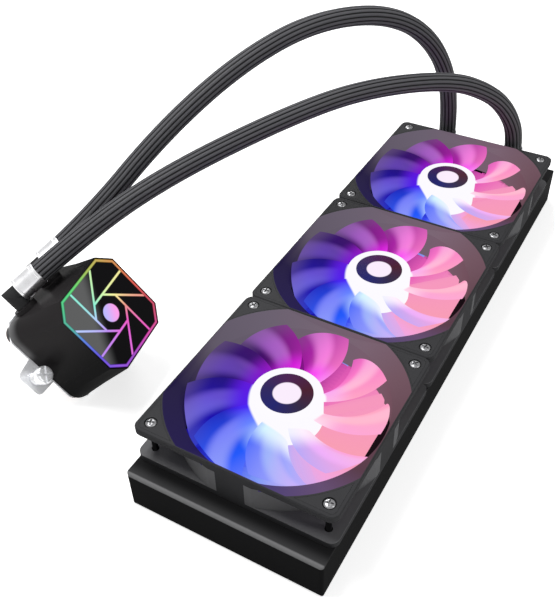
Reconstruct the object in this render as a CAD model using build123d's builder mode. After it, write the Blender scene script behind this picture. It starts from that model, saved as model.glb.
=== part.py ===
"""All-in-one liquid cooler for a computer's processor.

A three-fan radiator, two sleeved hoses and a pump head with a lit octagonal face.
Millimetres, +Z up. Origin: centre of the middle fan's four holes, on the radiator's underside.
+Y runs along the radiator from the plain end tank to the tank with the hose ports.
"""

import os
from math import copysign, cos, pi, radians, sin, tan

from build123d import *

# Running gap between faces that slide or turn on each other, and gap round parts that only sit
running_gap = 0.05
seat_gap = 0.1

# Fans: a row of equal square fans
fan_count = 3
fan_size = 120.0
fan_depth = 25.0
fan_corner_r = 5.0
hole_inset = 7.5
flange_t = 4.0
flange_edge = 0.6
duct_side = 3.0
duct_wall = 4.4
funnel_w = 10.0
funnel_h = 6.0
side_rim = 1.2
arm_t = 3.5
arm_w = 5.0
arm_count = 4
motor_mount_r = 20.0
frame_hole_r = 2.15
head_sink = 1.2
pad_t = 1.0
pad_inset = 2.2

# Fan rotor
blade_count = 9
blade_gap = 1.2
blade_t = 1.4
blade_camber = 2.4
blade_root_z = 14.2
hub_r = 20.0
hub_wall = 2.0
hub_top_t = 1.8
hub_lift = 1.3
hub_drop = 0.7
badge_r = 14.5
badge_t = 0.7
badge_proud = 0.1
fan_shaft_r = 1.5
fan_boss_r = 3.4
fan_boss_h = 4.5
fan_magnet_t = 1.5
fan_magnet_h = 10.0

# Fan motor
bearing_r = 4.0
bearing_h = 13.0
bearing_floor = 1.0
bearing_tube_wall = 0.9
fan_board_t = 1.0
fan_board_r = 15.8
fan_stator_r = 15.6
fan_stator_h = 7.5
fan_pole_w = 3.6
fan_pole_shoe = 1.6
fan_coil_w = 6.2
fan_coil_h = 9.0

# Fan screws
screw_r = 1.7
screw_head_r = 3.3
screw_head_h = 1.9
screw_reach = 3.0

# Radiator
radiator_inset = 1.0
radiator_h = 27.0
end_tank_l = 11.5
port_tank_l = 24.5
tank_edge_r = 2.0
rail_t = 1.2
rail_past_hole = 4.5
tapped_r = 1.75
tube_count = 11
tube_t = 1.8
tube_h = 20.0
fin_walls = 30
fin_t = 0.35
fin_gap = 0.05

# Hoses and their fittings
hose_d = 13.0
ferrule_t = 0.75
ferrule_l = 15.6
ferrule_rim = 0.35
ferrule_flare = 0.5
ferrule_flare_l = 1.6
port_spread = 54.0
barb_collar_r = 6.4
barb_collar_h = 1.5
barb_foot_r = 8.0
barb_foot_h = 0.6

# Pump head: where it stands and how it leans
pump_base = (-158.3, -122.8, 26.9)
pump_tilt = 52.0
pump_heading = 3.9
pump_roll = 5.9

# Pump head: housing
face_size = 57.0
face_cut = 9.0
face_shift = 2.5
pump_h = 48.2
flange_size = 65.0
flange_corner_r = 10.0
flange_low = 5.0
flange_high = 6.5
rim_t = 0.8
face_recess = 3.7
chamber_r = 19.0
chamber_top = 14.0
well_r = 9.0
well_top = 32.0
well_wall = 1.4
dry_r = 22.0
dry_floor = 16.0

# Pump head: lit face
ring_w = 1.7
panel_t = 1.2
bar_w = 1.5
bar_offset = 11.1
bar_inner = 4.6
bar_outer = 26.0
bar_count = 8
face_board_t = 1.2
pump_led_size = 2.4
pump_led_h = 0.5

# Pump head: motor
impeller_r = 15.5
impeller_t = 1.5
impeller_vane_h = 4.2
impeller_vane_t = 1.4
impeller_vane_count = 6
impeller_z = 8.0
pump_magnet_r = 8.2
pump_magnet_h = 16.5
pump_shaft_r = 1.2
pump_stator_r = 21.0
pump_stator_ring = 2.6
pump_stator_z = 17.0
pump_stator_h = 12.0
pump_pole_w = 3.4
pump_pole_count = 6
pump_coil_w = 5.6
pump_coil_l = 4.6
pump_coil_h = 13.6

# Pump head: base
plate_size = 62.0
plate_corner_r = 7.0
plate_t = 3.5
plate_boss = 47.0
skive_count = 12
skive_pitch = 2.0
skive_t = 0.6
skive_h = 1.8
skive_l = 24.0
gasket_r = 20.9
gasket_w = 1.6
bracket_size = 66.6
bracket_cut = 9.0
bracket_t = 1.5
ear_reach = 13.0
ear_overlap = 3.0
ear_root_w = 21.0
ear_tip_w = 18.0
ear_corner_r = 3.5
plate_screw_offset = 26.5
plate_screw_r = 1.4
plate_screw_head_r = 2.6
plate_screw_head_h = 1.5
plate_screw_l = 9.0

# Pump head: spring screws
spring_screw_x = 39.5
stem_r = 2.0
stem_tip_r = 1.5
stem_tip_z = -1.5
stem_hole_r = 2.4
knob_r = 5.5
knob_low = 12.6
knob_h = 4.6
knob_edge_r = 1.6
knob_slot_w = 1.3
knob_slot_d = 1.0
clip_r = 3.6
clip_t = 0.7
coil_r = 3.8
wire_r = 0.5
coil_turns = 4.5

# Pump head: swivelling elbows
port_x = 12.9
port_z = 11.4
elbow_y = 42.9
elbow_r = 5.0
elbow_bore_r = 3.3
socket_r_wall = 2.2
socket_mouth = 34.6
socket_floor = 25.0
port_bore_r = 3.4
elbow_turn = {"front": 49.0, "rear": 52.0}

# Sizes that follow from the ones above
core_l = fan_count * fan_size
half_holes = fan_size / 2 - hole_inset
hole_spacing = 2 * half_holes
duct_r = fan_size / 2 - duct_side
funnel_r = duct_r + funnel_w
radiator_w = fan_size - 2 * radiator_inset
rail_lip = radiator_w / 2 - half_holes + rail_past_hole
fan_places = [(i + 0.5) * fan_size - core_l / 2 for i in range(fan_count)]
fan_seats = [Plane(origin=(0, y, radiator_h)) for y in fan_places]
hub_low = arm_t + hub_lift
hub_high = fan_depth - hub_drop
blade_tip_r = duct_r - blade_gap
fan_top_z = radiator_h + fan_depth
port_y = core_l / 2 + port_tank_l / 2
ferrule_bore_r = hose_d / 2 + running_gap
hose_end_z = radiator_h + barb_foot_h + barb_collar_h
hose_start = elbow_r + 2 * seat_gap + ferrule_rim

# The pump head's own plane: x along the two ports, y towards them, z out of the lit face
tilt, heading, roll = radians(pump_tilt), radians(pump_heading), radians(pump_roll)
lean = Vector(sin(tilt) * cos(heading), sin(tilt) * sin(heading), cos(tilt))
level = Vector(-sin(heading), cos(heading), 0)
across = level * cos(roll) + lean.cross(level) * sin(roll)
pump = Plane(origin=pump_base, x_dir=across, z_dir=lean)
ports = Plane(origin=pump.origin, x_dir=pump.x_dir, z_dir=pump.y_dir)
face_centre = pump.from_local_coords(Vector(face_shift, 0, pump_h))
face = Plane(origin=face_centre, x_dir=pump.x_dir, z_dir=pump.z_dir)

os.makedirs("parts", exist_ok=True)


def save(piece, name):
    piece.part.label = name
    export_step(piece.part, f"parts/{name}.step")


def on_pump(x, y, z):
    return pump.from_local_coords(Vector(x, y, z))


# Radiator: flat coolant tubes between the tanks
tube_step = (radiator_w - 2 * rail_t - tube_count * tube_t) / (tube_count + 1) + tube_t
core_low_z = (radiator_h - tube_h) / 2
with BuildPart() as radiator_tubes:
    with BuildSketch(Plane.XZ):
        with Locations((0, radiator_h / 2)):
            with GridLocations(tube_step, 0, tube_count, 1):
                RectangleRounded(tube_t, tube_h, tube_t * 0.45)
    extrude(amount=core_l / 2, both=True)
save(radiator_tubes, "radiator_tubes")

# Radiator: one folded fin strip in each gap between the tubes
fold_reach = (tube_step - tube_t - 2 * fin_gap - fin_t) / 2
fin_step = core_l / fin_walls
fold_line = [(fold_reach * (-1) ** i - fin_t / 2, i * fin_step - core_l / 2) for i in range(fin_walls + 1)]
fold_back = [(x + fin_t, y) for x, y in reversed(fold_line)]
with BuildPart() as radiator_fins:
    with BuildSketch(Plane.XY.offset(core_low_z)):
        with GridLocations(tube_step, 0, tube_count + 1, 1):
            Polygon(*fold_line, *fold_back, align=None)
    extrude(amount=tube_h)
save(radiator_fins, "radiator_fins")


# Radiator: folded steel side rail with tapped holes in both lips
def side_rail(side):
    outer = side * radiator_w / 2
    with BuildPart() as rail:
        with BuildSketch(Plane.XZ):
            with Locations((outer - side * rail_lip / 2, radiator_h / 2)):
                Rectangle(rail_lip, radiator_h)
            with Locations((outer - side * (rail_t + rail_lip / 2), radiator_h / 2)):
                Rectangle(rail_lip, radiator_h - 2 * rail_t, mode=Mode.SUBTRACT)
        extrude(amount=core_l / 2, both=True)
        with BuildSketch(Plane.XY):
            for seat in fan_seats:
                with Locations((side * half_holes, seat.origin.Y)):
                    with GridLocations(0, hole_spacing, 1, 2):
                        Circle(tapped_r)
        extrude(amount=radiator_h, mode=Mode.SUBTRACT)
    return rail


save(side_rail(1), "side_rail_right")
save(side_rail(-1), "side_rail_left")


# Radiator: pressed tank across the end of the core
def tank(length, end):
    middle = end * (core_l + length) / 2
    with BuildPart() as box:
        with BuildSketch(Plane.XY):
            with Locations((0, middle)):
                Rectangle(radiator_w, length)
        extrude(amount=radiator_h)
        outer = box.faces().sort_by(Axis.Y)[-1 if end > 0 else 0]
        fillet(outer.edges(), tank_edge_r)
    return box


save(tank(end_tank_l, -1), "end_tank")
save(tank(port_tank_l, 1), "port_tank")

# Radiator: brass foot and collar of each hose barb
with BuildPart() as hose_barbs:
    with BuildSketch(Plane.XY.offset(radiator_h)):
        with Locations((0, port_y)):
            with GridLocations(port_spread, 0, 2, 1):
                RegularPolygon(barb_foot_r, 6, major_radius=False)
    extrude(amount=barb_foot_h)
    with BuildSketch(Plane.XY.offset(radiator_h + barb_foot_h)):
        with Locations((0, port_y)):
            with GridLocations(port_spread, 0, 2, 1):
                Circle(barb_collar_r)
    extrude(amount=barb_collar_h)
save(hose_barbs, "hose_barbs")


# Fan: rubber pad outlines, one in each corner outside the funnel's arc
def pad_sketch(shrink, hole_r):
    side = fan_size - 2 * pad_inset - 2 * shrink
    with BuildSketch(Plane.XY) as outline:
        RectangleRounded(side, side, fan_corner_r - pad_inset)
        Circle(funnel_r + pad_inset / 2 + shrink, mode=Mode.SUBTRACT)
        if hole_r:
            with GridLocations(hole_spacing, hole_spacing, 2, 2):
                Circle(hole_r, mode=Mode.SUBTRACT)
    return outline.sketch


pad_recess = pad_sketch(0, 0)
pad_shape = pad_sketch(seat_gap, screw_head_r + 3 * seat_gap)


# Fan: funnel above the blades, cut off at the frame's sides
def fan_funnel(seat):
    opening = fan_size - 2 * side_rim
    at_top = (Align.CENTER, Align.CENTER, Align.MAX)
    with BuildPart(seat.offset(fan_depth)) as funnel:
        Cone(duct_r, funnel_r, funnel_h, align=at_top)
        Box(opening, opening, funnel_h, align=at_top, mode=Mode.INTERSECT)
    return funnel.part


# Fan: frame with two flanges, open corners, a funnel into the duct and the motor mount
def fan_frame(seat):
    with BuildPart() as frame:
        with BuildSketch(seat):
            RectangleRounded(fan_size, fan_size, fan_corner_r)
        extrude(amount=fan_depth)
        chamfer(frame.faces().sort_by(Axis.Z)[-1].edges(), flange_edge)
        with BuildSketch(seat.offset(flange_t)):
            Rectangle(fan_size, fan_size)
            Circle(duct_r + duct_wall, mode=Mode.SUBTRACT)
        extrude(amount=fan_depth - 2 * flange_t, mode=Mode.SUBTRACT)
        with BuildSketch(seat):
            Circle(duct_r)
        extrude(amount=fan_depth, mode=Mode.SUBTRACT)
        add(fan_funnel(seat), mode=Mode.SUBTRACT)
        with BuildSketch(seat.offset(fan_depth - pad_t)):
            add(pad_recess)
        extrude(amount=pad_t, mode=Mode.SUBTRACT)
        with BuildSketch(seat):
            with GridLocations(hole_spacing, hole_spacing, 2, 2):
                Circle(frame_hole_r)
        extrude(amount=fan_depth, mode=Mode.SUBTRACT)
        with BuildSketch(seat.offset(fan_depth - head_sink)):
            with GridLocations(hole_spacing, hole_spacing, 2, 2):
                Circle(screw_head_r + 2 * seat_gap)
        extrude(amount=head_sink, mode=Mode.SUBTRACT)
        with BuildSketch(seat):
            Circle(motor_mount_r)
            with PolarLocations((motor_mount_r + duct_r) / 2, arm_count, start_angle=45):
                Rectangle(duct_r - motor_mount_r + duct_wall, arm_w)
        extrude(amount=arm_t)
        with BuildSketch(seat.offset(arm_t)):
            Circle(bearing_r + bearing_tube_wall)
        extrude(amount=bearing_floor + bearing_h - arm_t)
        with BuildSketch(seat.offset(bearing_floor)):
            Circle(bearing_r)
        extrude(amount=bearing_h, mode=Mode.SUBTRACT)
    return frame


# Fan: one swept blade, lofted through sections set square to the radius
def blade_plane(radius, sweep_deg, lift):
    angle = radians(sweep_deg)
    out = (cos(angle), sin(angle), 0)
    return Plane(origin=(radius * out[0], radius * out[1], lift), x_dir=(-out[1], out[0], 0), z_dir=out)


blade_stations = [
    (hub_r - 0.9 * hub_wall, 0, 0.0, 13.0, 12.0),
    ((hub_r + duct_r) / 2, 7, 0.8, 26.0, 14.0),
    (duct_r + 1, 21, 1.6, 37.0, 14.5),
]
with BuildPart() as blade:
    for radius, sweep_deg, lift, chord_w, chord_h in blade_stations:
        with BuildSketch(blade_plane(radius, sweep_deg, lift)):
            with BuildLine():
                slope = Vector(chord_h, chord_w, 0).normalized()
                lead = Vector(-chord_w / 2, chord_h / 2)
                trail = Vector(chord_w / 2, -chord_h / 2)
                ThreePointArc(lead, slope * (blade_camber + blade_t / 2), trail)
                ThreePointArc(trail, slope * (blade_camber - blade_t / 2), lead)
            make_face()
    loft()


# Fan: rotor with a cup-shaped hub, a boss for the shaft and a ring of blades
def fan_rotor(seat):
    with BuildPart(seat) as rotor:
        with Locations((0, 0, blade_root_z)):
            with PolarLocations(0, blade_count):
                add(blade.part)
        with BuildSketch(seat):
            Circle(blade_tip_r)
        extrude(amount=fan_depth, mode=Mode.INTERSECT)
        with BuildSketch(seat.offset(hub_low)):
            Circle(hub_r)
        extrude(amount=hub_high - hub_low)
        crown = rotor.faces().sort_by(Axis.Z)[-1]
        fillet(crown.edges(), 1.6)
        with BuildSketch(seat.offset(hub_low)):
            Circle(hub_r - hub_wall)
            Circle(fan_boss_r, mode=Mode.SUBTRACT)
        extrude(amount=hub_high - hub_top_t - hub_low, mode=Mode.SUBTRACT)
        with BuildSketch(seat.offset(hub_low)):
            Circle(fan_boss_r)
        extrude(amount=hub_high - hub_top_t - fan_boss_h - hub_low, mode=Mode.SUBTRACT)
        with BuildSketch(seat.offset(hub_low)):
            Circle(fan_shaft_r)
        extrude(amount=hub_high - hub_top_t - hub_low, mode=Mode.SUBTRACT)
        with BuildSketch(seat.offset(hub_high - badge_t + badge_proud)):
            Circle(badge_r)
        extrude(amount=badge_t, mode=Mode.SUBTRACT)
    return rotor


# Fan: plain round pieces stacked on the fan's axis
def fan_disc(seat, low, height, outer_r, bore_r=0.0):
    with BuildPart() as disc:
        with BuildSketch(seat.offset(low)):
            Circle(outer_r)
            if bore_r:
                Circle(bore_r, mode=Mode.SUBTRACT)
        extrude(amount=height)
    return disc


# Fan: stator with four wound poles round the bearing tube
def fan_stator(seat):
    core_r = bearing_r + bearing_tube_wall
    low = arm_t + fan_board_t + 2 * seat_gap
    with BuildPart() as stator:
        with BuildSketch(seat.offset(low + (fan_coil_h - fan_stator_h) / 2)):
            Circle(fan_stator_r)
            Circle(fan_stator_r - fan_pole_shoe, mode=Mode.SUBTRACT)
            with PolarLocations(fan_stator_r, 4, start_angle=45):
                Rectangle(2 * fan_pole_shoe + 2, fan_pole_w, mode=Mode.SUBTRACT)
            Circle(core_r + 1.6)
            with PolarLocations((core_r + fan_stator_r) / 2, 4):
                Rectangle(fan_stator_r - core_r - 1, fan_pole_w)
            Circle(core_r, mode=Mode.SUBTRACT)
        extrude(amount=fan_stator_h)
        with BuildSketch(seat.offset(low)):
            with PolarLocations((core_r + fan_stator_r) / 2, 4):
                Rectangle(fan_stator_r - core_r - 4, fan_coil_w)
        extrude(amount=fan_coil_h)
    return stator


# Fan: rubber pads let into the top flange
def fan_pads(seat):
    with BuildPart() as pads:
        with BuildSketch(seat.offset(fan_depth - pad_t)):
            add(pad_shape)
        extrude(amount=pad_t)
    return pads


magnet_r = hub_r - hub_wall
shaft_low = bearing_floor + 2 * seat_gap
shaft_l = hub_high - hub_top_t - shaft_low
bearing_bore_r = fan_shaft_r + running_gap
board_bore_r = bearing_r + bearing_tube_wall
for number, seat in enumerate(fan_seats, 1):
    fan = f"fan_{number}"
    save(fan_frame(seat), f"{fan}_frame")
    save(fan_rotor(seat), f"{fan}_rotor")
    save(fan_disc(seat, hub_high - badge_t + badge_proud, badge_t, badge_r), f"{fan}_hub_badge")
    save(fan_disc(seat, hub_low, fan_magnet_h, magnet_r, magnet_r - fan_magnet_t), f"{fan}_magnet_ring")
    save(fan_disc(seat, shaft_low, shaft_l, fan_shaft_r), f"{fan}_shaft")
    save(fan_disc(seat, bearing_floor, bearing_h, bearing_r, bearing_bore_r), f"{fan}_bearing")
    save(fan_disc(seat, arm_t, fan_board_t, fan_board_r, board_bore_r), f"{fan}_circuit_board")
    save(fan_stator(seat), f"{fan}_stator")
    save(fan_pads(seat), f"{fan}_corner_pads")

# Fans: long screws through both flanges into the radiator
head_seat_z = fan_top_z - head_sink
with BuildPart() as fan_screws:
    for seat in fan_seats:
        with BuildSketch(Plane(origin=(0, seat.origin.Y, head_seat_z))):
            with GridLocations(hole_spacing, hole_spacing, 2, 2):
                Circle(screw_head_r)
        extrude(amount=screw_head_h, taper=12)
        with BuildSketch(Plane(origin=(0, seat.origin.Y, head_seat_z))):
            with GridLocations(hole_spacing, hole_spacing, 2, 2):
                Circle(screw_r)
        extrude(amount=-(head_seat_z - radiator_h + screw_reach))
save(fan_screws, "fan_screws")


# Pump head: square outlines with cut or rounded corners
def square_outline(size, cut=0.0, corner_r=0.0):
    with BuildSketch(Plane.XY) as outline:
        Rectangle(size, size)
        if cut:
            chamfer(outline.vertices(), cut)
        if corner_r:
            fillet(outline.vertices(), corner_r)
    return outline.sketch


# Pump head: moulded housing, its rounded base drawn up into the octagonal rim of the lit face
with BuildPart() as pump_housing:
    with BuildSketch(pump.offset(flange_low)):
        add(square_outline(flange_size, corner_r=flange_corner_r))
    extrude(amount=flange_high - flange_low)
    with BuildSketch(pump.offset(flange_high)):
        add(square_outline(flange_size, corner_r=flange_corner_r))
    with BuildSketch(face):
        add(square_outline(face_size, cut=face_cut))
    loft()
    with BuildSketch(ports.offset(flange_size / 2 - 4)):
        with Locations((-port_x, -port_z), (port_x, -port_z)):
            Circle(elbow_r + socket_r_wall)
        with Locations((0, 0)):
            Rectangle(2 * flange_size, 2 * flange_low, mode=Mode.SUBTRACT)
    extrude(amount=socket_mouth - flange_size / 2 + 4)
    with BuildSketch(face.offset(-face_recess)):
        add(square_outline(face_size - 2 * rim_t, cut=face_cut - rim_t * tan(radians(22.5))))
    extrude(amount=face_recess, mode=Mode.SUBTRACT)
    with BuildSketch(pump.offset(dry_floor)):
        Circle(dry_r)
        Circle(well_r + well_wall, mode=Mode.SUBTRACT)
    extrude(amount=pump_h - face_recess - dry_floor, mode=Mode.SUBTRACT)
    with BuildSketch(pump.offset(well_top + well_wall)):
        Circle(dry_r)
    extrude(amount=pump_h - face_recess - well_top - well_wall, mode=Mode.SUBTRACT)
    with BuildSketch(pump.offset(flange_low)):
        Circle(chamber_r)
    extrude(amount=chamber_top - flange_low, mode=Mode.SUBTRACT)
    with BuildSketch(pump.offset(chamber_top)):
        Circle(well_r)
    extrude(amount=well_top - chamber_top, mode=Mode.SUBTRACT)
    with BuildSketch(pump.offset(flange_low)):
        Circle(gasket_r + gasket_w / 2)
        Circle(gasket_r - gasket_w / 2, mode=Mode.SUBTRACT)
    extrude(amount=gasket_w, mode=Mode.SUBTRACT)
    with BuildSketch(ports.offset(socket_floor)):
        with Locations((-port_x, -port_z), (port_x, -port_z)):
            Circle(elbow_r + running_gap)
    extrude(amount=socket_mouth - socket_floor, mode=Mode.SUBTRACT)
    with BuildSketch(ports.offset(chamber_r * 0.6)):
        with Locations((-port_x, -port_z), (port_x, -port_z)):
            Circle(port_bore_r)
    extrude(amount=socket_floor - chamber_r * 0.6, mode=Mode.SUBTRACT)
    with BuildSketch(pump.offset(flange_low)):
        with GridLocations(2 * plate_screw_offset, 2 * plate_screw_offset, 2, 2):
            Circle(plate_screw_r)
    extrude(amount=plate_screw_l - flange_low, mode=Mode.SUBTRACT)
    with BuildSketch(pump.offset(well_top - well_wall)):
        Circle(pump_shaft_r + 1.6)
        Circle(pump_shaft_r, mode=Mode.SUBTRACT)
    extrude(amount=well_wall)
save(pump_housing, "pump_housing")

# Lit face: board, light ring, dark panel and the pinwheel of light bars
ring_depth = face_recess - face_board_t
ring_outer = face_size - 2 * rim_t
ring_cut = face_cut - rim_t * tan(radians(22.5))
panel_size = ring_outer - 2 * ring_w
panel_cut = ring_cut - ring_w * 2 * tan(radians(22.5)) / 2


def light_bar_outline():
    with BuildSketch(Plane.XY) as outline:
        with PolarLocations(0, bar_count):
            with Locations(((bar_outer - bar_inner) / 2, bar_offset)):
                Rectangle(bar_outer + bar_inner, bar_w)
        add(square_outline(panel_size, cut=panel_cut), mode=Mode.INTERSECT)
    return outline.sketch


bar_outline = light_bar_outline()
with BuildPart() as pump_led_board:
    with BuildSketch(face.offset(-face_recess)):
        add(square_outline(ring_outer, cut=ring_cut))
    extrude(amount=face_board_t)
    with BuildSketch(pump.offset(pump_h - face_recess)):
        with PolarLocations(dry_r - 4, bar_count):
            Rectangle(pump_led_size, pump_led_size)
    extrude(amount=-pump_led_h)
save(pump_led_board, "pump_led_board")

with BuildPart() as light_ring:
    with BuildSketch(face.offset(-ring_depth)):
        add(square_outline(ring_outer, cut=ring_cut))
        add(square_outline(panel_size, cut=panel_cut), mode=Mode.SUBTRACT)
    extrude(amount=ring_depth)
save(light_ring, "light_ring")

with BuildPart() as face_panel:
    with BuildSketch(face.offset(-panel_t)):
        add(square_outline(panel_size, cut=panel_cut))
        add(bar_outline, mode=Mode.SUBTRACT)
    extrude(amount=panel_t)
save(face_panel, "face_panel")

with BuildPart() as light_bars:
    with BuildSketch(face.offset(-ring_depth)):
        add(bar_outline)
    extrude(amount=ring_depth)
save(light_bars, "light_bars")

# Pump motor: stator in the dry ring round the well
stator_pole_in = well_r + well_wall + 2 * seat_gap
stator_pole_mid = (stator_pole_in + pump_stator_r) / 2
with BuildPart() as pump_stator:
    with BuildSketch(pump.offset(pump_stator_z)):
        Circle(pump_stator_r)
        Circle(pump_stator_r - pump_stator_ring, mode=Mode.SUBTRACT)
        with PolarLocations(stator_pole_mid, pump_pole_count):
            Rectangle(pump_stator_r - stator_pole_in - 1.0, pump_pole_w)
    extrude(amount=pump_stator_h)
    with BuildSketch(pump.offset(pump_stator_z - (pump_coil_h - pump_stator_h) / 2)):
        with PolarLocations(stator_pole_mid, pump_pole_count):
            Rectangle(pump_coil_l, pump_coil_w)
    extrude(amount=pump_coil_h)
save(pump_stator, "pump_stator")

# Pump motor: vaned impeller, its magnet in the well and the fixed shaft
magnet_low = impeller_z + impeller_t + impeller_vane_h
with BuildPart() as pump_impeller:
    with BuildSketch(pump.offset(impeller_z)):
        Circle(impeller_r)
    extrude(amount=impeller_t)
    with BuildSketch(pump.offset(impeller_z + impeller_t)):
        with PolarLocations(impeller_r * 0.62, impeller_vane_count):
            Rectangle(impeller_r * 0.66, impeller_vane_t, rotation=30)
        Circle(pump_magnet_r * 0.6)
    extrude(amount=impeller_vane_h)
    with BuildSketch(pump.offset(magnet_low)):
        Circle(pump_shaft_r + 2.0)
    extrude(amount=pump_magnet_h)
    with BuildSketch(pump.offset(impeller_z)):
        Circle(pump_shaft_r + running_gap)
    extrude(amount=magnet_low + pump_magnet_h - impeller_z, mode=Mode.SUBTRACT)
save(pump_impeller, "pump_impeller")

with BuildPart() as pump_magnet:
    with BuildSketch(pump.offset(magnet_low)):
        Circle(pump_magnet_r)
        Circle(pump_shaft_r + 2.0, mode=Mode.SUBTRACT)
    extrude(amount=pump_magnet_h)
save(pump_magnet, "pump_magnet")

with BuildPart() as pump_shaft:
    with BuildSketch(pump.offset(plate_t + bracket_t + skive_h)):
        Circle(pump_shaft_r)
    extrude(amount=well_top - plate_t - bracket_t - skive_h)
save(pump_shaft, "pump_shaft")

# Pump base: copper cold plate with skived fins on its wet side
boss_top = plate_t + bracket_t
with BuildPart() as cold_plate:
    with BuildSketch(pump):
        add(square_outline(plate_size, corner_r=plate_corner_r))
    extrude(amount=plate_t)
    with BuildSketch(pump.offset(plate_t)):
        add(square_outline(plate_boss, corner_r=plate_corner_r))
    extrude(amount=bracket_t)
    with BuildSketch(pump.offset(boss_top)):
        with GridLocations(skive_pitch, 0, skive_count, 1):
            Rectangle(skive_t, skive_l)
    extrude(amount=skive_h)
    with BuildSketch(pump):
        with GridLocations(2 * plate_screw_offset, 2 * plate_screw_offset, 2, 2):
            Circle(plate_screw_r + seat_gap)
    extrude(amount=boss_top, mode=Mode.SUBTRACT)
    with BuildSketch(pump):
        with GridLocations(2 * plate_screw_offset, 2 * plate_screw_offset, 2, 2):
            Circle(plate_screw_head_r + seat_gap)
    extrude(amount=plate_screw_head_h + seat_gap, mode=Mode.SUBTRACT)
save(cold_plate, "cold_plate")

with BuildPart() as pump_gasket:
    with BuildSketch(pump.offset(flange_low)):
        Circle(gasket_r + gasket_w / 2)
        Circle(gasket_r - gasket_w / 2, mode=Mode.SUBTRACT)
    extrude(amount=gasket_w)
save(pump_gasket, "pump_gasket")

with BuildPart() as plate_screws:
    with BuildSketch(pump.offset(seat_gap)):
        with GridLocations(2 * plate_screw_offset, 2 * plate_screw_offset, 2, 2):
            Circle(plate_screw_head_r)
    extrude(amount=plate_screw_head_h)
    with BuildSketch(pump.offset(seat_gap)):
        with GridLocations(2 * plate_screw_offset, 2 * plate_screw_offset, 2, 2):
            Circle(plate_screw_r)
    extrude(amount=plate_screw_l - seat_gap)
save(plate_screws, "plate_screws")

# Pump base: steel bracket with an ear on each side
ear_root_x = bracket_size / 2 - ear_overlap
ear_tip_x = bracket_size / 2 + ear_reach
ear_root_y, ear_tip_y = ear_root_w / 2, ear_tip_w / 2
with BuildSketch(Plane.XY) as ear:
    root_corners = [(ear_root_x, ear_root_y), (ear_root_x, -ear_root_y)]
    tip_corners = [(ear_tip_x, -ear_tip_y), (ear_tip_x, ear_tip_y)]
    Polygon(*root_corners, *tip_corners, align=None)
    fillet(ear.vertices().group_by(Axis.X)[-1], ear_corner_r)
with BuildPart() as mounting_bracket:
    with BuildSketch(pump.offset(plate_t)):
        with PolarLocations(0, 2):
            add(ear.sketch)
        add(square_outline(bracket_size, cut=bracket_cut))
        add(square_outline(plate_boss + 2 * seat_gap, corner_r=plate_corner_r), mode=Mode.SUBTRACT)
        with GridLocations(2 * spring_screw_x, 0, 2, 1):
            Circle(stem_hole_r, mode=Mode.SUBTRACT)
        with GridLocations(2 * plate_screw_offset, 2 * plate_screw_offset, 2, 2):
            Circle(plate_screw_r + seat_gap, mode=Mode.SUBTRACT)
    extrude(amount=bracket_t)
save(mounting_bracket, "mounting_bracket")


# Spring screw: domed knob with a cross slot, a shouldered stem and a captive clip
def spring_screw(side):
    x = side * spring_screw_x
    with BuildPart() as screw:
        with BuildSketch(pump.offset(stem_tip_z)):
            with Locations((x, 0)):
                Circle(stem_tip_r)
        extrude(amount=plate_t - clip_t - stem_tip_z)
        with BuildSketch(pump.offset(plate_t - clip_t - 2 * seat_gap)):
            with Locations((x, 0)):
                Circle(stem_r)
        extrude(amount=knob_low - plate_t + clip_t + 2 * seat_gap)
        with BuildSketch(pump.offset(plate_t - clip_t - 2 * seat_gap)):
            with Locations((x, 0)):
                Circle(clip_r)
        extrude(amount=clip_t)
        with BuildSketch(pump.offset(knob_low)):
            with Locations((x, 0)):
                Circle(knob_r)
        extrude(amount=knob_h)
        fillet(screw.edges().sort_by(Axis(pump.origin, pump.z_dir))[-1], knob_edge_r)
        with BuildSketch(pump.offset(knob_low + knob_h - knob_slot_d)):
            with Locations((x, 0)):
                Rectangle(2 * knob_r, knob_slot_w, rotation=45)
                Rectangle(2 * knob_r, knob_slot_w, rotation=-45)
        extrude(amount=knob_slot_d, mode=Mode.SUBTRACT)
    return screw


# Coil spring between the ear and the knob
def coil_spring(side):
    foot = on_pump(side * spring_screw_x, 0, boss_top + wire_r + seat_gap)
    rise = knob_low - boss_top - 2 * wire_r - 2 * seat_gap
    with BuildPart() as spring:
        with BuildLine() as turns:
            add(Helix(rise / coil_turns, rise, coil_r, center=foot, direction=pump.z_dir))
        with BuildSketch(turns.line ^ 0):
            RegularPolygon(wire_r, 6)
        sweep(is_frenet=True)
    return spring


for side, name in ((-1, "near"), (1, "far")):
    save(spring_screw(side), f"spring_screw_{name}")
    save(coil_spring(side), f"spring_{name}")

# Swivelling elbows: mitred pipes between the housing's sockets and the hoses
elbow_sides = {"front": -port_x, "rear": port_x}


def elbow_places(name):
    turn = radians(elbow_turn[name])
    corner = on_pump(elbow_sides[name], elbow_y, port_z)
    root = on_pump(elbow_sides[name], socket_floor + 2 * seat_gap, port_z)
    outlet = pump.z_dir * cos(turn) + pump.x_dir * sin(turn)
    return root, corner, outlet


def elbow(name):
    root, corner, outlet = elbow_places(name)
    with BuildPart() as pipe:
        with BuildLine():
            Polyline(root, corner, corner + outlet * hose_start)
        with BuildSketch(Plane(origin=root, z_dir=pump.y_dir)):
            Circle(elbow_r)
            Circle(elbow_bore_r, mode=Mode.SUBTRACT)
        sweep(transition=Transition.RIGHT)
    return pipe


for name in elbow_sides:
    save(elbow(name), f"elbow_{name}")


# Hose routes: fitting, first point along the fitting, points in the air, point above the port, port
hose_points = {
    "front": [(-123, -48, 112), (-81, 22, 127), (-50, 76, 130), (-13, 138, 117), (9, 170, 97), (21, 185, 76)],
    "rear": [(-139, -25, 127), (-113, 28, 156), (-86, 78, 169), (-56, 134, 158), (-36, 172, 124)],
}
hose_first = {"front": 49.0, "rear": 38.0}
hose_last = {"front": 24.0, "rear": 45.0}


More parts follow.
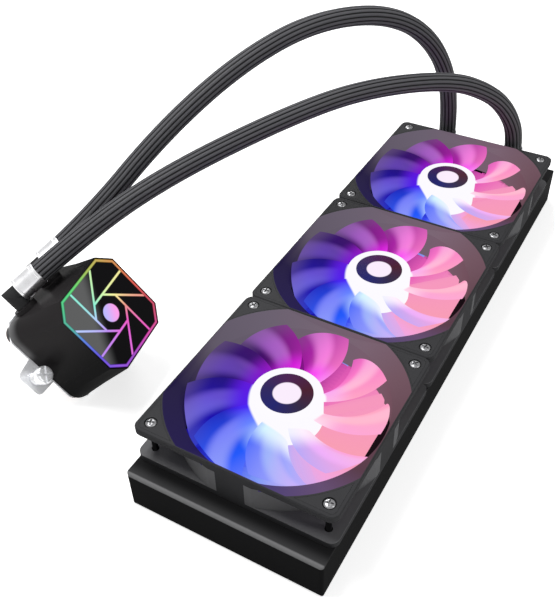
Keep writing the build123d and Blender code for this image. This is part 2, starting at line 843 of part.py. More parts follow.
def hose_route(name):
    root, corner, outlet = elbow_places(name)
    start = corner + outlet * hose_start
    end = Vector(-copysign(port_spread / 2, elbow_sides[name]), port_y, hose_end_z)
    last = end + Vector(0, 0, hose_last[name])
    return [start, start + outlet * hose_first[name], *[Vector(*p) for p in hose_points[name]], last, end]


def bend_radii(points):
    radii = []
    for before, here, after in zip(points, points[1:], points[2:]):
        run_in, run_out = here - before, after - here
        turn = radians(run_in.get_angle(run_out))
        radii.append(0.45 * min(run_in.length, run_out.length) / tan(turn / 2))
    return radii


def hose(name):
    points = hose_route(name)
    radii = bend_radii(points)
    with BuildPart() as tube:
        with BuildLine() as route:
            FilletPolyline(*points, radius=radii)
        with BuildSketch(Plane(origin=points[0], z_dir=points[1] - points[0])):
            Circle(hose_d / 2)
        sweep()
    length = route.wires()[0].length
    section = pi * hose_d**2 / 4
    print(name, "hose radii", [round(r) for r in radii], "length", round(length, 1))
    print(name, "hose volume over section times length", round(tube.part.volume / section / length, 4))
    return tube


for name in hose_points:
    save(hose(name), f"hose_{name}")


# Crimped metal ferrule round a hose end, with a turned-in rim and a flare at the fitting
def ferrule(start, direction):
    outer_r = ferrule_bore_r + ferrule_t
    square_to_axis = Plane(origin=start, z_dir=direction)
    with BuildPart() as sleeve:
        with BuildSketch(Plane(origin=start, x_dir=direction, z_dir=square_to_axis.x_dir)):
            with BuildLine():
                Polyline(
                    (-ferrule_rim, elbow_r),
                    (-ferrule_rim, outer_r + ferrule_flare),
                    (ferrule_flare_l / 2, outer_r + ferrule_flare),
                    (ferrule_flare_l, outer_r),
                    (ferrule_l - ferrule_rim, outer_r),
                    (ferrule_l - ferrule_rim, ferrule_bore_r),
                    (0, ferrule_bore_r),
                    (0, elbow_r),
                    close=True,
                )
            make_face()
        revolve(axis=Axis(start, direction))
    return sleeve


for name in elbow_sides:
    root, corner, outlet = elbow_places(name)
    save(ferrule(corner + outlet * hose_start, outlet), f"ferrule_{name}")

with BuildPart() as port_ferrules:
    with BuildSketch(Plane.XY.offset(hose_end_z)):
        with Locations((0, port_y)):
            with GridLocations(port_spread, 0, 2, 1):
                Circle(ferrule_bore_r + ferrule_t)
                Circle(ferrule_bore_r, mode=Mode.SUBTRACT)
    extrude(amount=ferrule_l)
save(port_ferrules, "port_ferrules")
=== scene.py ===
import math

import bpy
import numpy as np
from mathutils import Matrix, Vector


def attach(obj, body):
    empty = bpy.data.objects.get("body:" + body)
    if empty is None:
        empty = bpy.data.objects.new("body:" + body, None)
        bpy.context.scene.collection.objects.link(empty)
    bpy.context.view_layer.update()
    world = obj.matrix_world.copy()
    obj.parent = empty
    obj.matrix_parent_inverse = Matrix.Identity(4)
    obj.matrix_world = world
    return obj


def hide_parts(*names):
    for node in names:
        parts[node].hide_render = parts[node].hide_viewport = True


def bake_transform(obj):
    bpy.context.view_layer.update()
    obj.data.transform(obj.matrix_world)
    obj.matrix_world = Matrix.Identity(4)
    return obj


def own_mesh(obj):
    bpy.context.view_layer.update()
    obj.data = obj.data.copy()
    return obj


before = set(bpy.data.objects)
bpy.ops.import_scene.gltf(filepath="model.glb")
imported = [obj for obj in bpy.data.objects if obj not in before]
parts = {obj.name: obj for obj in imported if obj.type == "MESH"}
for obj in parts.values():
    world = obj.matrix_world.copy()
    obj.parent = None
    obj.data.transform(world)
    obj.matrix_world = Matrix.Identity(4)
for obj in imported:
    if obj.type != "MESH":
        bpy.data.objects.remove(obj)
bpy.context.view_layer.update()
print("frame loaded:", len(parts), "nodes")

fanCentres = (-0.12, 0.0, 0.12)


# small helpers for the modelling steps

def pickNothing():
    bpy.ops.object.select_all(action="DESELECT")


def pickOnly(piece):
    pickNothing()
    piece.select_set(True)
    bpy.context.view_layer.objects.active = piece


def applyAll(piece):
    # bake the modifiers, then put the place into the mesh
    pickOnly(piece)
    for modifier in list(piece.modifiers):
        bpy.ops.object.modifier_apply(modifier=modifier.name)
    bpy.ops.object.transform_apply(location=True, rotation=True, scale=True)


def addModifier(piece, kind, **settings):
    pickOnly(piece)
    bpy.ops.object.modifier_add(type=kind)
    modifier = piece.modifiers[-1]
    for key, value in settings.items():
        setattr(modifier, key, value)


# small helpers for the shader trees

def screenColour(red, green, blue):
    # 0 to 255 as seen on a screen, to the linear colour that a shader takes
    def linear(value):
        value /= 255
        return value / 12.92 if value <= 0.04045 else ((value + 0.055) / 1.055) ** 2.4
    return (linear(red), linear(green), linear(blue), 1.0)


def addNode(tree, kind, values=None, **settings):
    node = tree.nodes.new(kind)
    for key, value in settings.items():
        setattr(node, key, value)
    for key, value in (values or {}).items():
        node.inputs[key].default_value = value
    return node


def joinUp(tree, source, target):
    tree.links.new(source, target)


def setSocket(tree, socket, value):
    # a number or a screen colour stays on the socket, an output is linked to it
    if isinstance(value, tuple):
        socket.default_value = screenColour(*value)
    elif isinstance(value, (int, float)):
        socket.default_value = value
    else:
        joinUp(tree, value, socket)


def calc(tree, operation, *values, clamp=False):
    node = addNode(tree, "ShaderNodeMath", operation=operation, use_clamp=clamp)
    for socket, value in zip(node.inputs, values):
        setSocket(tree, socket, value)
    return node.outputs[0]


def mixColours(tree, share, first, second, blend="MIX"):
    # inputs 6 and 7 of a Mix node are its two colours, output 2 is the mixed one
    node = addNode(tree, "ShaderNodeMix", data_type="RGBA", blend_type=blend)
    for index, value in ((0, share), (6, first), (7, second)):
        setSocket(tree, node.inputs[index], value)
    return node.outputs[2]


def fade(tree, value, low, high):
    # smoothly 0 to 1 as the value goes from low to high
    node = addNode(tree, "ShaderNodeMapRange", {"From Min": low, "From Max": high},
                   interpolation_type="SMOOTHSTEP")
    joinUp(tree, value, node.inputs["Value"])
    return node.outputs["Result"]


def placeOf(tree):
    return addNode(tree, "ShaderNodeTexCoord").outputs["Object"]


def splitPlace(tree):
    split = addNode(tree, "ShaderNodeSeparateXYZ")
    joinUp(tree, placeOf(tree), split.inputs["Vector"])
    return split.outputs


# where the pump head stands, from the part's own sizes: degrees, millimetres, the base in metres

pump = {"base": Vector((-0.1583, -0.1228, 0.0269)), "tilt": 52.0, "heading": 3.9, "roll": 5.9,
        "faceShift": 2.5, "faceHigh": 48.2, "elbowY": 42.9, "elbowHigh": 11.4,
        "ports": {"front": -12.9, "rear": 12.9}}
tilt, heading, roll = (math.radians(pump[key]) for key in ("tilt", "heading", "roll"))
pumpOut = Vector((math.sin(tilt) * math.cos(heading), math.sin(tilt) * math.sin(heading), math.cos(tilt)))
levelLine = Vector((-math.sin(heading), math.cos(heading), 0))
pumpX = levelLine * math.cos(roll) + pumpOut.cross(levelLine) * math.sin(roll)
pumpY = pumpOut.cross(pumpX)


def onPump(x, y, z):
    # a point of the pump head, its sizes in millimetres
    return pump["base"] + (pumpX * x + pumpY * y + pumpOut * z) / 1000


# camera, lamps and floor

camera = {"place": (0.1546, -0.3852, 0.3886), "right": (0.8701, 0.4924, -0.0225),
          "down": (0.3098, -0.5818, -0.752), "lens": 50.45, "shift": (-0.0045, -0.0006),
          "clipStart": 0.01}
bpy.ops.object.camera_add()
viewCamera = bpy.context.object
rightLine = Vector(camera["right"]).normalized()
aheadLine = Vector(camera["down"]).cross(rightLine).normalized() * -1
upLine = rightLine.cross(aheadLine)
cameraTurn = Matrix((rightLine, upLine, -aheadLine)).transposed().to_4x4()
viewCamera.matrix_world = Matrix.Translation(Vector(camera["place"])) @ cameraTurn
viewCamera.data.lens = camera["lens"]
viewCamera.data.shift_x, viewCamera.data.shift_y = camera["shift"]
viewCamera.data.clip_start = camera["clipStart"]
bpy.context.scene.camera = viewCamera
bpy.context.scene.view_settings.view_transform = "Standard"

studio = {"worldLevel": 0.36, "floorSize": 8.0, "floorZ": -0.0002,
          "floorColour": (0.82, 0.82, 0.82, 1), "floorGlow": 0.72, "aim": Vector((0, 0, 0.03))}
lamps = [
    {"name": "topSoftbox", "place": (-0.55, -0.1, 1.4), "size": (0.9, 0.5), "watts": 14},
    {"name": "backSoftbox", "place": (-0.9, 1.1, 0.9), "size": (0.8, 0.3), "watts": 7},
    {"name": "sideStrip", "place": (1.2, 0.1, 0.8), "size": (0.2, 1.2), "watts": 3},
]
for lamp in lamps:
    bpy.ops.object.light_add(type="AREA", location=lamp["place"])
    light = bpy.context.object
    light.name = lamp["name"]
    light.data.shape = "RECTANGLE"
    light.data.size, light.data.size_y = lamp["size"]
    light.data.energy = lamp["watts"]
    light.rotation_euler = (studio["aim"] - Vector(lamp["place"])).to_track_quat("-Z", "Y").to_euler()


def emptyTree(holder):
    holder.use_nodes = True
    holder.node_tree.nodes.clear()
    return holder.node_tree


def backdropMix(tree, lit, shown):
    # the camera, gloss and glass see one shader, everything else the other
    path = addNode(tree, "ShaderNodeLightPath")
    seen = path.outputs["Is Camera Ray"]
    for ray in ("Is Glossy Ray", "Is Transmission Ray"):
        seen = calc(tree, "MAXIMUM", seen, path.outputs[ray])
    mixer = addNode(tree, "ShaderNodeMixShader")
    for socket, source in zip(mixer.inputs, (seen, lit.outputs[0], shown.outputs[0])):
        joinUp(tree, source, socket)
    return mixer.outputs[0]


world = bpy.data.worlds.new("studioWorld")
bpy.context.scene.world = world
tree = emptyTree(world)
litSky = addNode(tree, "ShaderNodeBackground", {"Strength": studio["worldLevel"]})
shownSky = addNode(tree, "ShaderNodeBackground")
worldOut = addNode(tree, "ShaderNodeOutputWorld")
joinUp(tree, backdropMix(tree, litSky, shownSky), worldOut.inputs["Surface"])

bpy.ops.mesh.primitive_plane_add(size=studio["floorSize"], location=(0, 0, studio["floorZ"]))
floor = bpy.context.object
floor.name = "floor"
floorFinish = bpy.data.materials.new("paleFloor")
tree = emptyTree(floorFinish)
matt = addNode(tree, "ShaderNodeBsdfDiffuse", {"Color": studio["floorColour"]})
glow = addNode(tree, "ShaderNodeEmission", {"Strength": studio["floorGlow"]})
shown = addNode(tree, "ShaderNodeAddShader")
joinUp(tree, matt.outputs[0], shown.inputs[0])
joinUp(tree, glow.outputs[0], shown.inputs[1])
floorOut = addNode(tree, "ShaderNodeOutputMaterial")
joinUp(tree, backdropMix(tree, matt, shown), floorOut.inputs["Surface"])
floor.data.materials.append(floorFinish)
print("camera, floor and light set")


# shared effects, as node groups

def newGroup(name, inputs, outputs):
    group = bpy.data.node_groups.new(name, "ShaderNodeTree")
    for label, kind, value in inputs:
        socket = group.interface.new_socket(label, in_out="INPUT", socket_type=kind)
        if value is not None:
            socket.default_value = value
    for label, kind in outputs:
        group.interface.new_socket(label, in_out="OUTPUT", socket_type=kind)
    return group, addNode(group, "NodeGroupInput").outputs, addNode(group, "NodeGroupOutput").inputs


# moulded grain: fine bumps of a moulded or painted surface, with slight changes of gloss and tone
toneRange = {"spread": 0.3, "lowest": 0.85}
grainGroup, start, end = newGroup("mouldedGrain", [
    ("Place", "NodeSocketVector", None), ("Grain Scale", "NodeSocketFloat", 900.0),
    ("Depth", "NodeSocketFloat", 0.05), ("Smudge Scale", "NodeSocketFloat", 25.0),
    ("Low Roughness", "NodeSocketFloat", 0.35), ("High Roughness", "NodeSocketFloat", 0.5),
], [("Normal", "NodeSocketVector"), ("Roughness", "NodeSocketFloat"), ("Tone", "NodeSocketFloat")])
fine = addNode(grainGroup, "ShaderNodeTexNoise", {"Detail": 3.0})
bump = addNode(grainGroup, "ShaderNodeBump", {"Distance": 0.0004})
broad = addNode(grainGroup, "ShaderNodeTexNoise", {"Detail": 4.0, "Roughness": 0.6})
gloss = addNode(grainGroup, "ShaderNodeMapRange", {"From Min": 0.3, "From Max": 0.7})
tone = calc(grainGroup, "MULTIPLY_ADD", broad.outputs["Fac"], toneRange["spread"], toneRange["lowest"])
for source, target in (
    (start["Place"], fine.inputs["Vector"]), (start["Grain Scale"], fine.inputs["Scale"]),
    (fine.outputs["Fac"], bump.inputs["Height"]), (start["Depth"], bump.inputs["Strength"]),
    (start["Place"], broad.inputs["Vector"]), (start["Smudge Scale"], broad.inputs["Scale"]),
    (broad.outputs["Fac"], gloss.inputs["Value"]), (start["Low Roughness"], gloss.inputs["To Min"]),
    (start["High Roughness"], gloss.inputs["To Max"]), (bump.outputs["Normal"], end["Normal"]),
    (gloss.outputs["Result"], end["Roughness"]), (tone, end["Tone"]),
):
    joinUp(grainGroup, source, target)

# wheel: angle and distance round an axis, for light that changes colour on the way round
wheelGroup, start, end = newGroup("wheel", [
    ("Place", "NodeSocketVector", None), ("Centre", "NodeSocketVector", (0, 0, 0)),
    ("Across", "NodeSocketVector", (1, 0, 0)), ("Up", "NodeSocketVector", (0, 1, 0)),
], [("Turn", "NodeSocketFloat"), ("Radius", "NodeSocketFloat"), ("Angle", "NodeSocketFloat")])
arm = addNode(wheelGroup, "ShaderNodeVectorMath", operation="SUBTRACT")
joinUp(wheelGroup, start["Place"], arm.inputs[0])
joinUp(wheelGroup, start["Centre"], arm.inputs[1])
reaches = []
for label in ("Across", "Up"):
    reach = addNode(wheelGroup, "ShaderNodeVectorMath", operation="DOT_PRODUCT")
    joinUp(wheelGroup, arm.outputs[0], reach.inputs[0])
    joinUp(wheelGroup, start[label], reach.inputs[1])
    reaches.append(reach.outputs["Value"])
angle = calc(wheelGroup, "ARCTAN2", reaches[1], reaches[0])
share = calc(wheelGroup, "DIVIDE", angle, 2 * math.pi)
squares = [calc(wheelGroup, "POWER", reach, 2.0) for reach in reaches]
joinUp(wheelGroup, calc(wheelGroup, "FRACT", calc(wheelGroup, "ADD", share, 1.0)), end["Turn"])
joinUp(wheelGroup, angle, end["Angle"])
joinUp(wheelGroup, calc(wheelGroup, "SQRT", calc(wheelGroup, "ADD", *squares)), end["Radius"])


def wheelAt(tree, centre, across=(1, 0, 0), up=(0, 1, 0), place=None):
    wheel = addNode(tree, "ShaderNodeGroup", {"Centre": centre, "Across": across, "Up": up},
                    node_tree=wheelGroup)
    joinUp(tree, place or placeOf(tree), wheel.inputs["Place"])
    return wheel.outputs


def sideReaches(tree, wheel):
    # distances from the axis along the wheel's two directions, without sign
    return [calc(tree, "ABSOLUTE", calc(tree, "MULTIPLY", wheel["Radius"], calc(tree, kind, wheel["Angle"])))
            for kind in ("COSINE", "SINE")]


def leanTo(tree, wheel, turn):
    # 1 in the direction of an angle in degrees, -1 away from it
    return calc(tree, "COSINE", calc(tree, "SUBTRACT", wheel["Angle"], math.radians(turn)))


def reachTo(tree, wheel, turn):
    # how far the place lies towards an angle
    return calc(tree, "MULTIPLY", wheel["Radius"], leanTo(tree, wheel, turn))


def colourRing(tree, turn, stops):
    # a colour for each angle, in degrees, closed round the circle
    ramp = addNode(tree, "ShaderNodeValToRGB")
    joinUp(tree, turn, ramp.inputs["Fac"])
    stops = sorted((angle % 360 / 360, screenColour(*colour)) for angle, colour in stops)
    (first, firstColour), (last, lastColour) = stops[0], stops[-1]
    share = (1 - last) / (first + 1 - last)
    seam = tuple(a + (b - a) * share for a, b in zip(lastColour, firstColour))
    elements = ramp.color_ramp.elements
    elements[0].position, elements[0].color = 0.0, seam
    elements[1].position, elements[1].color = 1.0, seam
    for place, colour in stops:
        elements.new(place).color = colour
    return ramp.outputs["Color"]


# finishes

def newFinish(name, colour, roughness, metallic=0.0, **sockets):
    # the other sockets are named with _ for a space, their colours are screen colours
    finish = bpy.data.materials.new(name)
    finish.use_nodes = True
    tree = finish.node_tree
    shader = tree.nodes["Principled BSDF"]
    sockets = {"Base_Color": colour, "Roughness": roughness, "Metallic": metallic, **sockets}
    for label, value in sockets.items():
        setSocket(tree, shader.inputs[label.replace("_", " ")], value)
    return finish, tree, shader.inputs


def grainEffect(tree, **values):
    values = {label.replace("_", " "): value for label, value in values.items()}
    effect = addNode(tree, "ShaderNodeGroup", node_tree=grainGroup)
    for label, value in values.items():
        effect.inputs[label].default_value = value
    joinUp(tree, placeOf(tree), effect.inputs["Place"])
    return effect.outputs


def grained(name, colour, low, high, metallic=0.0, depth=0.08, grain=900.0, smudge=25.0, **sockets):
    finish, tree, shader = newFinish(name, colour, low, metallic, **sockets)
    effect = grainEffect(tree, Grain_Scale=grain, Depth=depth, Smudge_Scale=smudge,
                         Low_Roughness=low, High_Roughness=high)
    joinUp(tree, effect["Normal"], shader["Normal"])
    joinUp(tree, effect["Roughness"], shader["Roughness"])
    joinUp(tree, mixColours(tree, 1.0, colour, effect["Tone"], "MULTIPLY"), shader["Base Color"])
    return finish


def reopen(finish):
    # a grained finish's tree, its shader's sockets and the colour that feeds them so far
    shader = finish.node_tree.nodes["Principled BSDF"].inputs
    return finish.node_tree, shader, shader["Base Color"].links[0].from_socket


# black plastics and paint: a thin clear layer gives the gloss, so that they stay black in a pale room
# the bracket's and the springs' faint glow stands in for the bright room that they would reflect
blackGloss = {"Specular_IOR_Level": 0.0, "Coat_Weight": 0.12, "Coat_Roughness": 0.25}
lowGloss = {"Specular_IOR_Level": 0.0, "Coat_Weight": 0.045, "Coat_Roughness": 0.2}
mattGloss = {"Specular_IOR_Level": 0.0, "Coat_Weight": 0.1, "Coat_Roughness": 0.42}
plainFinishes = {
    "padRubber": {"colour": (62, 62, 64), "low": 0.6, "high": 0.75, "depth": 0.3, "grain": 1300, **mattGloss},
    "brightSteel": {"colour": (225, 226, 228), "low": 0.14, "high": 0.28, "metallic": 1.0, "depth": 0.02},
    "plateScrewSteel": {"colour": (150, 150, 152), "low": 0.22, "high": 0.38, "metallic": 1.0, "depth": 0.02},
    "bracketSteel": {"colour": (246, 247, 249), "low": 0.3, "high": 0.46, "metallic": 0.5, "depth": 0.03,
                     "smudge": 90.0, "Emission_Color": (66, 66, 68), "Emission_Strength": 1.0},
    "springSteel": {"colour": (244, 245, 247), "low": 0.14, "high": 0.3, "metallic": 0.7, "depth": 0.02,
                    "Emission_Color": (56, 56, 58), "Emission_Strength": 1.0},
    "ferruleMetal": {"colour": (240, 240, 242), "low": 0.24, "high": 0.34, "metallic": 1.0, "depth": 0.03,
                     "smudge": 140.0},
    "barbMetal": {"colour": (160, 158, 150), "low": 0.3, "high": 0.45, "metallic": 1.0},
    "elbowPlastic": {"colour": (56, 56, 57), "low": 0.25, "high": 0.35, "depth": 0.03, **blackGloss},
    "boardGreen": {"colour": (20, 74, 44), "low": 0.4, "high": 0.5},
    "copperWinding": {"colour": (168, 92, 48), "low": 0.35, "high": 0.5, "metallic": 0.8},
    "magnetDark": {"colour": (60, 60, 62), "low": 0.5, "high": 0.6, "metallic": 0.4},
    "bearingBrass": {"colour": (190, 155, 90), "low": 0.3, "high": 0.4, "metallic": 1.0},
    "sealRubber": {"colour": (30, 30, 30), "low": 0.6, "high": 0.7},
}
finishes = {name: grained(name, **settings) for name, settings in plainFinishes.items()}
print("plain finishes made")

# fan screws: bright heads; below the head's seat the screws are painted dark, painted shade down in their
# holes
screwLook = {"head": (150, 150, 152), "shankShade": (16, 16, 17), "from": 0.0503, "to": 0.0509,
             "roughness": 0.3, "smooth": 0.22, "rough": 0.38, "smudge": 260.0}


def screwFinish():
    finish, tree, shader = newFinish("screwSteel", screwLook["head"], screwLook["roughness"], metallic=1.0)
    # painted shade: dark below the head's seat, bright above it
    upper = fade(tree, splitPlace(tree)["Z"], screwLook["from"], screwLook["to"])
    joinUp(tree, mixColours(tree, upper, screwLook["shankShade"], screwLook["head"]), shader["Base Color"])
    effect = grainEffect(tree, Smudge_Scale=screwLook["smudge"], Low_Roughness=screwLook["smooth"],
                         High_Roughness=screwLook["rough"])
    joinUp(tree, effect["Roughness"], shader["Roughness"])
    return finish


# lit face of the pump head: colours by angle from the head's own x axis
faceLight = {
    "ring": [(0, (222, 66, 44)), (22, (215, 112, 46)), (45, (206, 152, 56)), (70, (168, 186, 60)),
             (90, (110, 206, 80)), (112, (60, 216, 112)), (135, (50, 192, 132)), (157, (52, 168, 160)),
             (172, (66, 118, 224)), (200, (76, 52, 222)), (225, (132, 56, 226)), (250, (152, 26, 192)),
             (270, (192, 30, 186)), (290, (216, 32, 162)), (315, (202, 42, 102)), (338, (202, 34, 52))],
    "bars": [(23, (250, 240, 150)), (68, (205, 250, 170)), (113, (130, 242, 212)), (158, (180, 205, 255)),
             (203, (186, 130, 246)), (248, (228, 92, 226)), (293, (240, 60, 196)), (338, (240, 140, 128))],
    "off": (24, 24, 26), "roughness": 0.3, "edge": (172, 172, 172), "core": 0.3,
    "white": (255, 255, 255), "whiteShare": 0.07,
}
# octagon of the light ring and the eight bars set at a tangent, in metres from the face's middle
strips = {"ringSide": 0.02685, "ringCorner": 0.03209, "ringHalf": 0.0009,
          "barOffset": 0.0111, "barHalf": 0.0009, "innerCorner": 0.01205}


def neon(tree, colour, offset, halfWidth):
    # a paler core along the middle of a light strip, a deeper colour at its edges
    core = fade(tree, calc(tree, "ABSOLUTE", offset), halfWidth, halfWidth * faceLight["core"])
    deep = mixColours(tree, 1.0, colour, faceLight["edge"], "MULTIPLY")
    return mixColours(tree, core, deep, mixColours(tree, faceLight["whiteShare"], colour, faceLight["white"]))


def ringOffset(tree, wheel):
    across, up = sideReaches(tree, wheel)
    side = calc(tree, "SUBTRACT", calc(tree, "MAXIMUM", across, up), strips["ringSide"])
    diagonal = calc(tree, "MULTIPLY", calc(tree, "ADD", across, up), math.sqrt(0.5))
    return calc(tree, "MAXIMUM", side, calc(tree, "SUBTRACT", diagonal, strips["ringCorner"]))


def barOffset(tree, wheel):
    # turn each bar onto the first one, then measure across it
    ratio = calc(tree, "MINIMUM", calc(tree, "DIVIDE", strips["barOffset"], wheel["Radius"]), 1.0)
    lean = calc(tree, "SUBTRACT", calc(tree, "ARCSINE", ratio), math.pi / 2)
    outside = calc(tree, "GREATER_THAN", wheel["Radius"], strips["innerCorner"])
    fold = calc(tree, "ADD", math.pi / 2, calc(tree, "MULTIPLY", outside, lean))
    past = calc(tree, "SUBTRACT", wheel["Angle"], fold)
    turns = calc(tree, "ROUND", calc(tree, "DIVIDE", past, math.pi / 4))
    angle = calc(tree, "SUBTRACT", wheel["Angle"], calc(tree, "MULTIPLY", turns, math.pi / 4))
    across = calc(tree, "MULTIPLY", wheel["Radius"], calc(tree, "SINE", angle))
    return calc(tree, "SUBTRACT", across, strips["barOffset"])


def faceWheel(tree):
    return wheelAt(tree, onPump(pump["faceShift"], 0, pump["faceHigh"]), pumpX, pumpY)


def litFinish(name, stops, offset, halfWidth):
    finish, tree, shader = newFinish(name, faceLight["off"], faceLight["roughness"],
                                     Specular_IOR_Level=0.0, Emission_Strength=1.0)
    wheel = faceWheel(tree)
    colour = colourRing(tree, wheel["Turn"], stops)
    joinUp(tree, neon(tree, colour, offset(tree, wheel), halfWidth), shader["Emission Color"])
    return finish


# clear dark face: a plain lit disc in its middle and a painted reflection towards the hose side, glowing in
# the emission
panel = {"colour": (13, 12, 15), "roughness": 0.1, "specular": 0.06, "disc": 0.0056, "discEdge": 0.0003,
         "discLow": (188, 186, 255), "discHigh": (255, 160, 236), "paintedSheen": (92, 93, 93),
         "noSheen": (0, 0, 0), "sheenTurn": 146.0, "sheenFrom": 0.005, "sheenTo": 0.015}


def panelFinish():
    finish, tree, shader = newFinish("panelGloss", panel["colour"], panel["roughness"],
                                     Specular_IOR_Level=panel["specular"], Emission_Strength=1.0)
    wheel = faceWheel(tree)
    # painted reflection: the face glows paler towards the hose side
    reach = reachTo(tree, wheel, panel["sheenTurn"])
    paintedSheen = mixColours(tree, fade(tree, reach, panel["sheenFrom"], panel["sheenTo"]),
                       panel["noSheen"], panel["paintedSheen"])
    tint = mixColours(tree, fade(tree, reach, -panel["disc"], panel["disc"]),
                      panel["discHigh"], panel["discLow"])
    disc = fade(tree, wheel["Radius"], panel["disc"] + panel["discEdge"], panel["disc"] - panel["discEdge"])
    joinUp(tree, mixColours(tree, disc, paintedSheen, tint), shader["Emission Color"])
    return finish


# radiator paint: a painted highlight on the near end of the tank's top and on its near top edge, and painted
# shade that leaves the vertical faces darkest
paint = {"uprightShade": (17, 17, 18), "flat": (34, 34, 35), "near": (66, 66, 67), "edge": (128, 128, 129),
         "flatLow": 0.0246, "flatHigh": 0.0254, "nearFrom": -0.1825, "nearTo": -0.19,
         "edgeFrom": -0.1893, "edgeTo": -0.1903, "low": 0.3, "high": 0.42, "depth": 0.05, "grain": 1400}


def paintFinish():
    finish = grained("radiatorPaint", paint["flat"], paint["low"], paint["high"], depth=paint["depth"],
                     grain=paint["grain"], **lowGloss)
    tree, shader, _ = reopen(finish)
    place = splitPlace(tree)
    # painted shade on the vertical faces, painted highlight towards the tank's near top edge
    flat = fade(tree, place["Z"], paint["flatLow"], paint["flatHigh"])
    near = fade(tree, place["Y"], paint["nearFrom"], paint["nearTo"])
    edge = fade(tree, place["Y"], paint["edgeFrom"], paint["edgeTo"])
    top = mixColours(tree, near, paint["flat"], paint["near"])
    top = mixColours(tree, edge, top, paint["edge"])
    joinUp(tree, mixColours(tree, flat, paint["uprightShade"], top), shader["Base Color"])
    return finish


# pump housing: painted light, paler towards the hose side and darker away from it, and a painted highlight
# low on its corner
housing = {"colour": (20, 20, 21), "dark": (4, 4, 5), "light": (48, 46, 47), "turn": 128.0,
           "from": 0.004, "to": 0.03,
           "paintedGlint": (124, 124, 125), "glintTurn": 135.0, "glintFrom": 0.0275, "glintTo": 0.0325,
           "glintLow": 0.006, "glintHigh": 0.013, "low": 0.24, "high": 0.34, "depth": 0.03}


def riseOf(tree):
    # height above the pump head's contact face, along its axis
    arm = addNode(tree, "ShaderNodeVectorMath", {1: pump["base"]}, operation="SUBTRACT")
    joinUp(tree, placeOf(tree), arm.inputs[0])
    rise = addNode(tree, "ShaderNodeVectorMath", {1: pumpOut}, operation="DOT_PRODUCT")
    joinUp(tree, arm.outputs[0], rise.inputs[0])
    return rise.outputs["Value"]


def housingFinish():
    finish = grained("housingPlastic", housing["colour"], housing["low"], housing["high"],
                     depth=housing["depth"], **blackGloss)
    tree, shader, _ = reopen(finish)
    wheel = wheelAt(tree, onPump(0, 0, 0), pumpX, pumpY)
    # painted light and shade by side, then a painted highlight on the low corner
    lighter = fade(tree, reachTo(tree, wheel, housing["turn"]), housing["from"], housing["to"])
    tone = mixColours(tree, lighter, housing["dark"], housing["light"])
    corner = fade(tree, reachTo(tree, wheel, housing["glintTurn"]), housing["glintFrom"], housing["glintTo"])
    low = fade(tree, riseOf(tree), housing["glintHigh"], housing["glintLow"])
    paintedGlint = mixColours(tree, calc(tree, "MULTIPLY", corner, low), tone, housing["paintedGlint"])
    joinUp(tree, paintedGlint, shader["Base Color"])
    return finish


# cold plate: bare copper on the contact face, dark plated sides
plate = {"copper": (150, 92, 66), "rim": (52, 52, 54), "rimFrom": 0.0001, "rimTo": 0.0004,
         "low": 0.34, "high": 0.46, "depth": 0.02}


def plateFinish():
    finish = grained("coldPlateCopper", plate["copper"], plate["low"], plate["high"],
                     metallic=1.0, depth=plate["depth"])
    tree, shader, plain = reopen(finish)
    side = fade(tree, riseOf(tree), plate["rimFrom"], plate["rimTo"])
    joinUp(tree, mixColours(tree, side, plain, plate["rim"]), shader["Base Color"])
    return finish


# fan light by angle: near the hub, on the blades and in the shade between them
fanLight = {
    "inner": [(0, (255, 195, 220)), (45, (250, 170, 240)), (80, (250, 70, 245)), (110, (215, 20, 220)),
              (145, (140, 10, 190)), (185, (92, 12, 220)), (225, (70, 30, 245)), (245, (100, 130, 255)),
              (270, (215, 245, 255)), (320, (255, 240, 255))],
    "bright": [(0, (255, 185, 205)), (45, (255, 185, 215)), (85, (245, 125, 220)), (125, (170, 95, 195)),
               (165, (95, 60, 165)), (205, (98, 75, 205)), (245, (120, 130, 250)), (285, (160, 180, 250)),
               (325, (240, 175, 250))],
    "shade": [(20, (255, 170, 195)), (60, (250, 120, 200)), (100, (165, 30, 160)), (140, (60, 2, 100)),
              (180, (28, 2, 110)), (220, (22, 4, 172)), (260, (30, 88, 250)), (300, (165, 170, 252)),
              (340, (252, 165, 220))],
    "off": (24, 22, 28), "roughness": 0.3, "blades": 9, "sweep": 3.5, "sweepGrowth": 161.0,
    "shadeAt": -0.1, "brightAt": 1.0, "hub": (252, 250, 255), "hubRadius": 0.0204, "hubEdge": 0.0018,
    "innerTo": 0.023, "bladesFrom": 0.038, "wash": (112, 92, 120), "washTurn": 165.0, "washShare": 0.5,
    "washFrom": 0.042, "washTo": 0.058,
}


